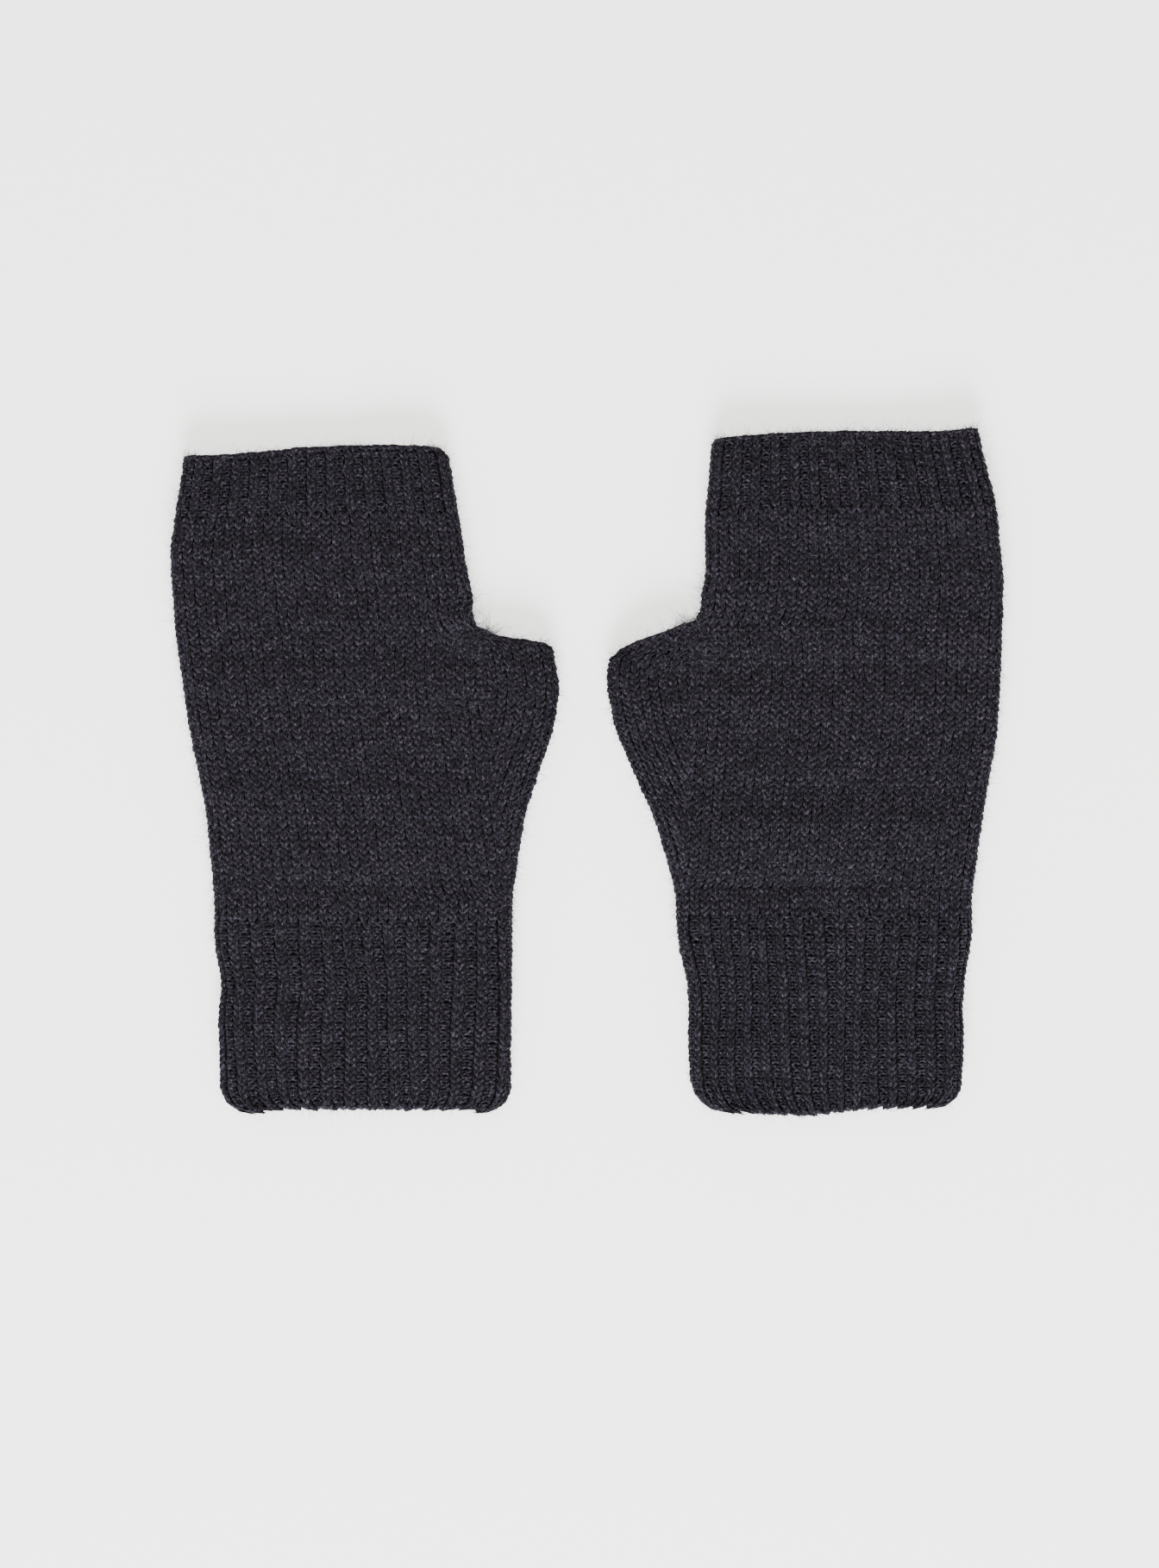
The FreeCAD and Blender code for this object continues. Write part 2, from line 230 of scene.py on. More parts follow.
# how the fabric lies, in millimetres
drape = {"sag": 1.3, "sagFrom": 5, "sagReach": 13, "flatEdge": 1, "edgeReach": 9,
         "pinch": 0.75, "pinchReach": 4.2, "waist": 0.9, "waistReach": 8, "topReach": 25, "hemReach": 22,
         "crotchRound": 1.3, "crotchFrom": 9, "crotchReach": 8, "slopeFrom": 2, "tiltFrom": 25,
         "gussetFade": 15,
         "ripples": [(41, 33, 0.30), (23, 17, 0.22), (13, 19, 0.13), (9, 7, 0.07)]}  # long, tall, size
fullTurn = 6.283

# the yarn and its knitting, in millimetres
knit = {"course": 1.95, "wale": 2.78, "proud": 1.0, "legRadius": 0.2, "legSides": 4, "twist": 0.8,
        "ribLift": 0.1, "purlDrop": 0.02, "lipRadius": 1.0, "overlap": 2.2,
        # the lining lies this far behind the legs, a dark layer that is the fabric's inner side and painted
        # shade in the gaps between the legs
        "liningTop": -0.45, "liningLow": -0.95, "lowest": 0.02, "liningLowest": 0.1,
        "jitter": 0.09, "jitterUp": 0.7, "tilt": 0.035, "sizing": 0.025}


def smoothed(values, reach):
    kernel = np.hanning(2 * reach + 1)
    padded = np.pad(values, reach, mode="edge")
    return np.convolve(padded, kernel / kernel.sum(), mode="valid")


def ease(value):
    value = np.clip(value, 0, 1)
    return value * value * (3 - 2 * value)


def dipThumb(lane, past, near, wide):
    # how far the thumb's opening lies below the fork: a rounded crotch, then a straight slope
    glove = gloves[lane["side"]]
    crotch = glove["crotch"] * mm * (1 - np.exp(-past / (drape["crotchRound"] * mm)))
    return crotch * near + glove["thumbSlope"] * np.maximum(past - drape["slopeFrom"] * mm, 0) * wide


def measureGlove(side):
    glove = gloves[side]
    turn = glove["turn"]

    def nodeBox(name):
        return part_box(f"{side}_{name}")

    joints = {j["name"]: j for j in frame["joints"]}
    swing = joints[f"{side}_thumb_swing"]
    wrist = joints[f"{side}_wrist_bend"]["pos_m"][1]
    low, high = nodeBox("cuff_edge")[0].y, nodeBox("finger_edge")[1].y
    lane = {"side": side, "turn": turn, "low": low, "high": high, "wrist": wrist,
            "bendLow": nodeBox("wrist_knit")[0].y, "bendHigh": nodeBox("wrist_knit")[1].y,
            "fork": nodeBox("thumb_gusset")[1].y, "band": nodeBox("finger_band")[0].y,
            "thick": nodeBox("back_panel")[1].z}
    px, py, _ = swing["pos_m"]
    ax, ay, _ = swing["axis"]
    margin, inset, clear = (survey[name] * mm for name in ("margin", "inset", "clear"))
    heights = np.arange(low - margin, high + margin, survey["step"] * mm)
    lane["heights"] = heights
    lane["fold"] = turn * (px + (heights - py) * ax / ay)
    nodes = [o for n, o in frame["nodes"].items() if n.startswith(side)]

    def edgeAt(height, outward, parts):
        best = None
        for part in parts:
            start = Vector((turn * outward * survey["farOut"] * mm, height, lane["thick"] / 2))
            hit, place, _, _ = part.ray_cast(start, Vector((-turn * outward, 0, 0)))
            if hit:
                reach = outward * turn * place.x
                best = reach if best is None else max(best, reach)
        return outward * best

    inside = np.clip(heights, low + inset, high - inset)
    thumbNames = ("thumb_stall", "thumb_edge", "thumb_gusset")
    thumbParts = [o for o in nodes if o.name.endswith(thumbNames)]
    tubeParts = [o for o in nodes if not o.name.endswith(thumbNames + ("fork_join",))]
    edge = frame["nodes"][f"{side}_thumb_edge"].data.vertices
    reach = max(turn * v.co.x for v in edge)
    lane["forkAcross"] = np.interp(lane["fork"], heights, lane["fold"])
    tip = max(v.co.y for v in edge if turn * v.co.x > reach - inset)
    aboveWrist, belowWrist = lane["bendHigh"] + clear, lane["bendHigh"] - inset
    pinky = np.array([edgeAt(y, -1, tubeParts) for y in inside])
    handRight = np.array([edgeAt(max(y, lane["fork"] + clear), 1, tubeParts) for y in inside])
    cuffRight = np.array([edgeAt(min(y, belowWrist), 1, tubeParts) for y in inside])
    thumbRight = np.array([edgeAt(min(max(y, aboveWrist), tip), 1, thumbParts) for y in inside])
    thumbRight = np.where(heights < lane["bendHigh"], cuffRight, thumbRight)
    outline = {"pinky": pinky, "handRight": handRight, "thumbRight": thumbRight, "cuffRight": cuffRight}
    for name, places in outline.items():
        lane[name] = smoothed(places, survey["smooth"][name])
    thumbOpening = lane["fork"] - dipThumb(lane, reach - lane["forkAcross"], 1, 1)
    ends = {"cuff": low, "fingers": high, "thumb": thumbOpening}
    for name, way, atEnd, radius in glove["corners"]:
        end = ends[atEnd]
        along = np.clip(1 - np.abs(heights - end) / (radius * mm), 0, 1)
        beyond = (heights < end) if atEnd == "cuff" else (heights > end)
        lane[name] = lane[name] + way * radius * mm * (1 - np.sqrt(1 - np.where(beyond, 1, along) ** 2))
    for name, upward, reachUp, depth in glove["dents"]:
        inward = 1 if name == "pinky" else -1
        fade = np.exp(-((heights - low) / mm - upward) ** 2 / reachUp ** 2)
        lane[name] = lane[name] + inward * depth * mm * fade
    aboveFork = np.clip((heights - lane["fork"]) / (drape["waistReach"] * mm), 0, 1)
    lane["handRight"] = lane["handRight"] - drape["waist"] * mm * np.sin(math.pi * aboveFork)
    lane["rng"] = np.random.default_rng(glove["seed"])
    return lane


def at(lane, name, y):
    return np.interp(y, lane["heights"], lane[name])


def ripple(lane, u, y):
    # slow waves of a few lengths, out of step with one another
    base = gloves[lane["side"]]["seed"]
    total = np.zeros_like(u)
    for n, (long, tall, size) in enumerate(drape["ripples"]):
        bent = base + n * 2.1 + 1.3 * np.sin(y / (tall * mm) * fullTurn + n)
        total += size * np.sin(u / (long * mm) * fullTurn + bent)
        total += size * np.cos(y / (tall * mm) * fullTurn + base * 0.7 + n * 1.3)
    return total * mm


def across(lane, name, u):
    # a row of (millimetres across, millimetres up), read at u
    places, amounts = zip(*gloves[lane["side"]][name])
    return np.interp(u - lane["zero"], np.array(places) * mm, np.array(amounts) * mm)


def squareOff(lane, u, y):
    # the fingers' edge isn't quite square to the hand, and the cuff's edge waves a little
    topReach = drape["topReach"] * mm
    nearTop = ease((y - lane["band"] + topReach) / (lane["high"] - lane["band"] + topReach))
    y = y - across(lane, "topDip", u) * nearTop
    nearHem = ease(1 - (y - lane["low"]) / (drape["hemReach"] * mm))
    return y + across(lane, "hemRise", u) * nearHem


def layFabric(lane, u, y, z, up):
    # sag between the folds, rumples and the pinch at the thumb's fork, all on the upper layer
    middle = lane["thick"] / 2
    pinky = at(lane, "pinky", y)
    right = np.where(y > lane["fork"], at(lane, "handRight", y), at(lane, "thumbRight", y))
    inward = np.minimum(u - pinky, right - u)
    fromEdge = np.maximum(inward - drape["sagFrom"] * mm, 0) / (drape["sagReach"] * mm)
    sag = drape["sag"] * mm * (1 - np.exp(-fromEdge ** 2))
    rise = ripple(lane, u, y) - sag
    for along, upward, reachAcross, reachUp, height, lean in gloves[lane["side"]]["rumples"]:
        du = u - (lane["zero"] + along * mm)
        dy = y - (lane["low"] + upward * mm) - lean * du
        rise = rise + height * mm * np.exp(-(du / (reachAcross * mm)) ** 2 - (dy / (reachUp * mm)) ** 2)
    z = z + rise * up * ease((inward + drape["flatEdge"] * mm) / (drape["edgeReach"] * mm))
    gap = np.hypot(u - lane["forkAcross"], y - lane["fork"])
    closed = np.exp(-(gap / (drape["pinchReach"] * mm)) ** 2) * drape["pinch"]
    return middle + (z - middle) * (1 - closed)


def aroundFold(lane, edge, inward, distance, y, lift):
    # distance runs over the folded edge: above it if positive, under it if negative
    radius = foldRadius(lane)
    angle = np.minimum(np.abs(distance) / radius, math.pi / 2)
    over = np.sign(distance) + (distance == 0)
    past = np.maximum(np.abs(distance) - radius * math.pi / 2, 0)
    u = edge + inward * (knit["proud"] * mm + radius * (1 - np.cos(angle)) + past - lift * np.cos(angle))
    z = lane["thick"] / 2 + over * np.sin(angle) * (radius + lift)
    up = np.clip(over * np.sin(angle), 0, 1)
    return u, z, up


def foldRadius(lane):
    return lane["thick"] / 2 - knit["proud"] * mm


def halfGirth(lane, left, right):
    return math.pi * foldRadius(lane) + right - left - 2 * (knit["proud"] * mm + foldRadius(lane))


def betweenFolds(lane, left, right, distance, past, far, y, lift):
    # measured from the little-finger fold, or from the other fold where it is far round
    nearSide = aroundFold(lane, left, 1, distance, y, lift)
    farSide = aroundFold(lane, right, -1, past, y, lift)
    u, z, up = (np.where(far, f, n) for f, n in zip(farSide, nearSide))
    return u, layFabric(lane, u, y, z, up)


def onTube(lane, share, y, lift, rightName):
    # share is 0 at the little-finger fold, +-1 at the other fold, over the top or underneath
    left, right = at(lane, "pinky", y), at(lane, rightName, y)
    girth = halfGirth(lane, left, right)
    distance = share * girth
    past = np.sign(share) * girth - distance
    return betweenFolds(lane, left, right, distance, past, np.abs(share) > 0.5, y, lift)


def onHand(lane, share, y, lift):
    # below the fork the hand's wales end at the thumb's fold line, and above it they close round the edge
    left, fold = at(lane, "pinky", y), at(lane, "fold", y)
    closed = y > lane["fork"]
    right = np.where(closed, at(lane, "handRight", y), at(lane, "thumbRight", y))
    full = halfGirth(lane, left, right)
    radius = foldRadius(lane)
    gap = right - fold - knit["proud"] * mm
    beyond = np.where(gap > radius, math.pi * radius / 2 + gap - radius,
                      radius * np.arccos(np.clip(1 - gap / radius, -1, 1)))
    overlap = knit["overlap"] * mm * ease((y - lane["fork"]) / (drape["gussetFade"] * mm) + 1)
    girth = np.where(closed, full, np.minimum(full - beyond + overlap, full))
    distance = share * girth
    past = np.sign(share) * full - distance
    return betweenFolds(lane, left, right, distance, past, np.abs(distance) > full / 2, y, lift)


def onGusset(lane, distance, course, lift):
    # wales run beside the thumb's folded edge, and the courses tilt towards the thumb's opening
    edge = at(lane, "thumbRight", course)
    rough = edge - np.abs(distance) - knit["proud"] * mm
    tiltFrom = drape["tiltFrom"] * mm
    wide = ease((course - lane["wrist"] - tiltFrom) / (lane["fork"] - lane["wrist"] - tiltFrom))
    near = ease((course - lane["fork"] + drape["crotchFrom"] * mm) / (drape["crotchReach"] * mm))
    y = course - dipThumb(lane, np.maximum(rough - at(lane, "fold", course), 0), near, wide)
    u, z, up = aroundFold(lane, at(lane, "thumbRight", y), -1, distance, y, lift)
    return u, y, layFabric(lane, u, y, z, up)


def overLip(v, lift, lip, way):
    # past the lip the fabric turns over the mouth's rim and runs back inside
    radius = knit["lipRadius"] * mm
    past = way * (v - lip)
    angle = np.clip(past / radius, 0, math.pi)
    inside = np.maximum(past - math.pi * radius, 0)
    outside = np.minimum(past, 0)
    y = lip + way * (outside + radius * np.sin(angle) - inside + lift * np.sin(angle))
    return y, lift * np.cos(angle) - radius * (1 - np.cos(angle))


# the yarn's way through each stitch: x in half widths (wales in the chain), y in courses, z in millimetres
legStitch = {"radii": (0.7, 1.0, 1.1, 1.0, 0.65),
             "path": [(0.06, -0.34, -0.40), (0.24, 0.04, 0.06), (0.44, 0.44, 0.34), (0.60, 0.84, 0.24),
                      (0.66, 1.20, -0.34)]}
bumpStitch = {"radii": (0.40, 0.52, 0.56, 0.52, 0.40),
              "path": [(-1.1, -1.1, -0.40), (-0.6, 0.2, 0.05), (0, 0.8, 0.22), (0.6, 0.2, 0.05),
                       (1.1, -1.1, -0.40)],
              "arcs": ((0.30, 0.24), (0.80, -0.12))}  # rise and bow of each arc
chainLink = {"radii": (0.36, 0.52, 0.58, 0.52, 0.36),
             "path": [(-0.35, 0.10, -0.4), (0.0, 0.24, 0.1), (0.45, 0.38, 0.34), (0.9, 0.36, 0.16),
                      (1.25, 0.16, -0.4)]}
ribColumns = {"plainAt": 0.25, "plainHalf": 0.23, "plainWide": 0.46,
              "purlAt": 0.75, "purlHalf": 0.15, "purlWide": 0.185}
strandSteps = {"along": 0.9, "round": 0.6}  # how the spun fibres' noise is spread on the yarn


def yarnLeg(bm, path, radii):
    # a tube of yarn through the path, closed at both ends
    sides = knit["legSides"]
    strand = bm.verts.layers.float_vector["strand"]
    rings = []
    for n, (point, radius) in enumerate(zip(path, radii)):
        before, after = Vector(path[max(n - 1, 0)]), Vector(path[min(n + 1, len(path) - 1)])
        ahead = (after - before).normalized()
        ring = bmesh.ops.create_circle(bm, segments=sides, radius=radius)["verts"]
        bmesh.ops.rotate(bm, verts=ring, cent=(0, 0, 0), matrix=ahead.to_track_quat("Z", "Y").to_matrix())
        bmesh.ops.translate(bm, verts=ring, vec=point)
        for k, vert in enumerate(ring):
            angle = 2 * math.pi * k / sides + knit["twist"] * n
            around = strandSteps["round"]
            vert[strand] = (strandSteps["along"] * n, around * math.cos(angle), around * math.sin(angle))
        rings.append(ring)
    edgesOf = [[e for e in bm.edges if e.verts[0] in r and e.verts[1] in r] for r in rings]
    for first, second in zip(edgesOf, edgesOf[1:]):
        bmesh.ops.bridge_loops(bm, edges=first + second)
    bmesh.ops.contextual_create(bm, geom=edgesOf[0])
    bmesh.ops.contextual_create(bm, geom=edgesOf[-1])


def stitchMesh(name, yarns, unitWide):
    # x in units across, y in courses, z in millimetres: each tube is stretched to be round on the glove
    bm = bmesh.new()
    bm.verts.layers.float_vector.new("strand")
    for path, radii, wide in yarns:
        before = set(bm.verts)
        yarnLeg(bm, path, radii)
        rings = [v for v in bm.verts if v not in before]
        sides = knit["legSides"]
        for n, middle in enumerate(path):
            ring = rings[n * sides:(n + 1) * sides]
            bmesh.ops.translate(bm, verts=ring, vec=-Vector(middle))
            bmesh.ops.scale(bm, verts=ring, vec=(wide / unitWide, wide / knit["course"], wide))
            bmesh.ops.translate(bm, verts=ring, vec=middle)
    bmesh.ops.recalc_face_normals(bm, faces=bm.faces)
    mesh = bpy.data.meshes.new(name)
    bm.to_mesh(mesh)
    bm.free()
    return mesh


def vStitch(centre, half, lift, wide):
    # one plain stitch: two legs that start deep between the legs below and lean outwards
    radii = [knit["legRadius"] * r for r in legStitch["radii"]]
    legs = []
    for way in (-1, 1):
        path = [(centre + way * half * x, y, lift + z) for x, y, z in legStitch["path"]]
        legs.append((path, radii, wide))
    return legs


def purlBump(centre, half, lift, wide):
    # the back of a stitch: one arc curved up and one curved down
    arcs = []
    for rise, bow in bumpStitch["arcs"]:
        path = [(centre + half * x, rise + bow * y, lift + z) for x, y, z in bumpStitch["path"]]
        arcs.append((path, bumpStitch["radii"], wide))
    return arcs


def chainStitch():
    # lies on its side along a rim, a wale long
    return [([(x, way * y, z) for x, y, z in chainLink["path"]], chainLink["radii"], 1.0) for way in (-1, 1)]


def ribStitch(repeat):
    # one rib: a column of plain stitches beside a column of purl bumps
    rib = ribColumns
    yarns = vStitch(rib["plainAt"], rib["plainHalf"], knit["ribLift"], rib["plainWide"] * repeat)
    yarns += purlBump(rib["purlAt"], rib["purlHalf"], knit["purlDrop"], rib["purlWide"] * repeat)
    return stitchMesh("rib stitch", yarns, repeat)


def flatSheet(template, columns, rows):
    # two arrays repeat the stitch into a flat sheet
    holder = bpy.data.objects.new("sheet", template)
    bpy.context.scene.collection.objects.link(holder)
    for axis, count in ((0, columns), (1, rows)):
        array = holder.modifiers.new("repeat", "ARRAY")
        array.count = count
        array.use_relative_offset = False
        array.use_constant_offset = True
        array.constant_offset_displace = [1.0 if n == axis else 0.0 for n in range(3)]
    view = bpy.context.evaluated_depsgraph_get()
    mesh = bpy.data.meshes.new_from_object(holder.evaluated_get(view))
    bpy.data.objects.remove(holder)
    return mesh


def coordinates(mesh):
    places = np.empty(len(mesh.vertices) * 3)
    mesh.vertices.foreach_get("co", places)
    return places.reshape(-1, 3)


def setCoordinates(mesh, lane, u, y, z):
    mesh.vertices.foreach_set("co", np.stack([lane["turn"] * u, y, z], axis=1).ravel())
    if lane["turn"] < 0:
        mesh.flip_normals()


say("stitch templates")
plainStitch = stitchMesh("plain stitch", vStitch(0.5, 0.5, 0.0, knit["wale"]), knit["wale"])
chain = stitchMesh("bound edge", chainStitch(), knit["wale"])


def scatterJitter(lane, count, verts, u, y, z):
    # no two stitches are alike: each is nudged, tilted and sized a little by itself
    rng = lane["rng"]
    nudge = rng.normal(0, knit["jitter"] * mm, (count, 3)).repeat(verts, axis=0)
    lean = rng.normal(0, knit["tilt"], count).repeat(verts)
    middleU = u.reshape(count, verts).mean(1).repeat(verts)
    middleY = y.reshape(count, verts).mean(1).repeat(verts)
    du, dy = u - middleU, y - middleY
    grow = rng.normal(1, knit["sizing"], count).repeat(verts)
    return (middleU + grow * (du - lean * dy) + nudge[:, 0], middleY + grow * (dy + lean * du) + nudge[:, 1],
            z + knit["jitterUp"] * nudge[:, 2])


def shadeEach(mesh, rng, count, verts):
    # a random number for each stitch or fibre, read by its material
    shade = rng.random(count).repeat(verts)
    mesh.attributes.new("shade", "FLOAT", "POINT").data.foreach_set("value", shade)


class Sheet:
    # a knitted sheet laid on the glove, with the middle of each stitch and the lining behind them, whose dark
    # colour is partly painted shade

    def __init__(self, lane, template, columns, rows, place, turnedRows=None):
        self.lane, self.columns, self.rows = lane, columns, rows
        self.place, self.turnedRows = place, turnedRows
        self.verts = len(template.vertices)
        self.mesh = flatSheet(template, columns, rows)
        self.count = columns * rows
        u, y, z = self.laid(coordinates(self.mesh))
        self.row = np.arange(self.count) // columns
        self.u = u.reshape(self.count, self.verts).mean(1)
        self.y = y.reshape(self.count, self.verts).mean(1)
        u, y, z = scatterJitter(lane, self.count, self.verts, u, y, z)
        setCoordinates(self.mesh, lane, u, y, np.maximum(z, knit["lowest"] * mm))
        shadeEach(self.mesh, lane["rng"], self.count, self.verts)

    def laid(self, flat):
        u, y, z = self.place(flat[:, 0], flat[:, 1], flat[:, 2] * mm)
        return u, squareOff(self.lane, u, y), z

    def beside(self):
        # how far each stitch lies past the thumb's fold line
        return self.u - at(self.lane, "fold", self.y)

    def part(self, keep):
        # the stitches that belong to one piece
        mask = np.repeat(keep, self.verts)
        bm = bmesh.new()
        bm.from_mesh(self.mesh)
        bm.verts.ensure_lookup_table()
        bmesh.ops.delete(bm, geom=[v for v, stay in zip(bm.verts, mask) if not stay], context="VERTS")
        return bm

    def lining(self, keep):
        # the inner side of those stitches: a closed layer behind their legs, cut finer where it turns in; its
        # dark colour is also painted shade in the gaps between the legs
        bm = bmesh.new()
        strand = bm.verts.layers.float_vector.new("strand")
        bmesh.ops.create_grid(bm, x_segments=2 * self.columns, y_segments=self.rows, size=0.5)
        bmesh.ops.translate(bm, verts=bm.verts, vec=(0.5, 0.5, 0))
        bmesh.ops.scale(bm, verts=bm.verts, vec=(self.columns, self.rows, 1))
        middles = [(face, face.calc_center_median()) for face in bm.faces]
        spare = [face for face, place in middles if not keep[int(place.y) * self.columns + int(place.x)]]
        bmesh.ops.delete(bm, geom=spare, context="FACES")
        if self.turnedRows:
            for line in np.linspace(*self.turnedRows, 7):
                bmesh.ops.bisect_plane(bm, geom=bm.verts[:] + bm.edges[:] + bm.faces[:],
                                       plane_co=(0, line, 0), plane_no=(0, 1, 0))
        bmesh.ops.solidify(bm, geom=bm.faces[:], thickness=1.0)
        halfway = sum(v.co.z for v in bm.verts) / max(len(bm.verts), 1)
        for vert in bm.verts:
            vert.co.z = knit["liningTop"] if vert.co.z > halfway else knit["liningLow"]
            vert[strand] = vert.co
        bmesh.ops.recalc_face_normals(bm, faces=bm.faces)
        u, y, z = self.laid(np.array([v.co[:] for v in bm.verts]))
        z = np.maximum(z, knit["liningLowest"] * mm)
        for vert, x, up, high in zip(bm.verts, self.lane["turn"] * u, y, z):
            vert.co = (x, up, high)
        if self.lane["turn"] < 0:
            bmesh.ops.reverse_faces(bm, faces=bm.faces)
        for face in bm.faces:
            face.material_index = 1
        return bm


# the edges: how far they turn in, how the ribs scallop and sway, and where the chain lies on the rim
edges = {"turnIn": 6, "scallop": 0.55, "scallopAt": 0.26, "scallopReach": 4, "sway": 0.12, "swayTall": 17,
         "swayStep": 0.9, "crest": 0.45, "chainLift": 0.2}
thumb = {"wales": 24}
forkPatch = {"across": 3, "deep": 3, "middle": 1.5, "centre": 1.4, "pitch": 2.2, "down": 2.4, "bow": 0.25,
             "tall": 1.7}


def buildSheets(lane):
    glove = gloves[lane["side"]]
    course = knit["course"] * mm
    lip = knit["lipRadius"] * mm + knit["proud"] * mm
    turned = math.pi * knit["lipRadius"] * mm
    turnIn = turned + edges["turnIn"] * mm

    ribs = glove["cuffRibs"]
    cuffLip = lane["low"] + lip
    cuffLow = cuffLip - turnIn
    cuffRows = round((lane["wrist"] - cuffLow) / course)

    def scallop(rib, v):
        # every rib pulls the cast-on edge down a little
        wave = edges["scallop"] * mm * np.cos(2 * math.pi * (rib - edges["scallopAt"]))
        return wave * ease(1 - (v - cuffLip) / (edges["scallopReach"] * mm))

    def placeCuff(x, v, lift):
        flat = cuffLow + v * (lane["wrist"] - cuffLow) / cuffRows
        y, lift = overLip(flat, lift, cuffLip, -1)
        y = y - scallop(x, flat)
        sway = edges["sway"] / ribs * np.sin(y / (edges["swayTall"] * mm) + x * edges["swayStep"])
        u, z = onTube(lane, x / ribs - 1 + sway, y, lift, "cuffRight")
        return u, y, z

    cuffStep = (lane["wrist"] - cuffLow) / cuffRows
    cuffTurned = ((cuffLip - turned - cuffLow) / cuffStep, (cuffLip - cuffLow) / cuffStep)
    cuff = Sheet(lane, ribStitch(ribWidth(lane, ribs)), 2 * ribs, cuffRows, placeCuff, cuffTurned)

    bandRibs = glove["bandRibs"]
    bandLip = lane["high"] - lip
    bandHigh = bandLip + turnIn
    bandRows = round((bandHigh - lane["band"]) / course)

    def placeBand(x, v, lift):
        y, lift = overLip(lane["band"] + v * (bandHigh - lane["band"]) / bandRows, lift, bandLip, 1)
        u, z = onTube(lane, x / bandRibs - 1, y, lift, "handRight")
        return u, y, z

    bandStep = (bandHigh - lane["band"]) / bandRows
    bandTurned = ((bandLip - lane["band"]) / bandStep, (bandLip + turned - lane["band"]) / bandStep)
    band = Sheet(lane, ribStitch(ribWidth(lane, bandRibs)), 2 * bandRibs, bandRows, placeBand, bandTurned)

    wales = glove["handWales"]
    handRows = round((lane["band"] - lane["wrist"]) / course)

    def placeHand(over):
        def place(x, v, lift):
            y = lane["wrist"] + v * (lane["band"] - lane["wrist"]) / handRows
            share = over * x / wales if over > 0 else (x - wales) / wales
            u, z = onHand(lane, share, y, lift)
            return u, y, z
        return place

    back = Sheet(lane, plainStitch, wales, handRows, placeHand(1))
    palm = Sheet(lane, plainStitch, wales, handRows, placeHand(-1))

    thumbLip = lane["fork"] - lip
    gussetHigh = thumbLip + turnIn
    gussetRows = round((gussetHigh - lane["wrist"]) / course)

    def besideThumb(x):
        return (thumb["wales"] / 2 - x) * knit["wale"] * mm

    def placeGusset(x, v, lift):
        flat = lane["wrist"] + v * (gussetHigh - lane["wrist"]) / gussetRows
        y, lift = overLip(flat, lift, thumbLip, 1)
        return onGusset(lane, besideThumb(x), y, lift)

    gussetStep = (gussetHigh - lane["wrist"]) / gussetRows
    gussetTurned = ((thumbLip - lane["wrist"]) / gussetStep, (thumbLip + turned - lane["wrist"]) / gussetStep)
    gusset = Sheet(lane, plainStitch, thumb["wales"], gussetRows, placeGusset, gussetTurned)
    crest = edges["crest"] * math.pi * knit["lipRadius"] * mm
    chainLift = edges["chainLift"] * mm

    def placeRim(lip, way, rightName, count):
        def place(x, v, lift):
            y, lift = overLip(lip + way * crest + v * course, lift + chainLift, lip, way)
            if way < 0:
                y = y - scallop(2 * ribs * x / count, y)
            u, z = onTube(lane, 2 * x / count - 1, y, lift, rightName)
            return u, y, z
        return place

    def placeThumbRim(x, v, lift):
        y, lift = overLip(thumbLip + crest + v * course, lift + chainLift, thumbLip, 1)
        return onGusset(lane, besideThumb(x), y, lift)

    links = 2 * wales
    castOn = Sheet(lane, chain, links, 1, placeRim(cuffLip, -1, "cuffRight", links))
    castOff = Sheet(lane, chain, links - 2, 1, placeRim(bandLip, 1, "handRight", links - 2))
    thumbOff = Sheet(lane, chain, thumb["wales"], 1, placeThumbRim)

    def placeFork(x, v, lift):
        # a small patch that faces up out of the fork, wider than it is deep
        u = lane["forkAcross"] - (x - forkPatch["centre"]) * forkPatch["pitch"] * mm
        bow = forkPatch["bow"] * np.abs(x - forkPatch["middle"]) * mm
        up = (v - forkPatch["middle"]) * forkPatch["tall"] * mm
        return u, lane["fork"] - forkPatch["down"] * mm + lift + bow, lane["thick"] / 2 + up

    fork = Sheet(lane, plainStitch, forkPatch["across"], forkPatch["deep"], placeFork)
    return {"cuff": cuff, "band": band, "back": back, "palm": palm, "gusset": gusset, "castOn": castOn,
            "castOff": castOff, "thumbOff": thumbOff, "fork": fork, "gussetStep": gussetStep}


def ribWidth(lane, ribs):
    # in millimetres, at the wrist
    width = at(lane, "cuffRight", lane["wrist"]) - at(lane, "pinky", lane["wrist"])
    return float(width) / mm / ribs


def joinMeshes(name, bms):
    bm = bmesh.new()
    for part in bms:
        mesh = bpy.data.meshes.new("part")
        part.to_mesh(mesh)
        part.free()
        bm.from_mesh(mesh)
        bpy.data.meshes.remove(mesh)
    mesh = bpy.data.meshes.new(name)
    bm.to_mesh(mesh)
    bm.free()
    piece = bpy.data.objects.new(name, mesh)
    bpy.context.scene.collection.objects.link(piece)
    mesh.materials.append(yarnMaterial)
    mesh.materials.append(liningShadeMaterial)
    mesh.shade_smooth()
    return piece


# loose fibres: how many, how long and how they stand, with more of them round the rims and longer at the fork
fuzz = {"perStitch": 3.0, "length": (0.7, 3.2), "stand": (0.1, 1.1), "flat": 0.8, "curl": 0.45, "stray": 0.6,
        "radius": 0.05, "sides": 3, "tip": 0.35, "long": 0.05, "longer": 0.7, "rimShare": 0.5, "rimBand": 3,
        "rimFacing": 0.5, "facing": 0.2, "atFork": 1.0, "forkReach": 15, "lowest": 0.02}


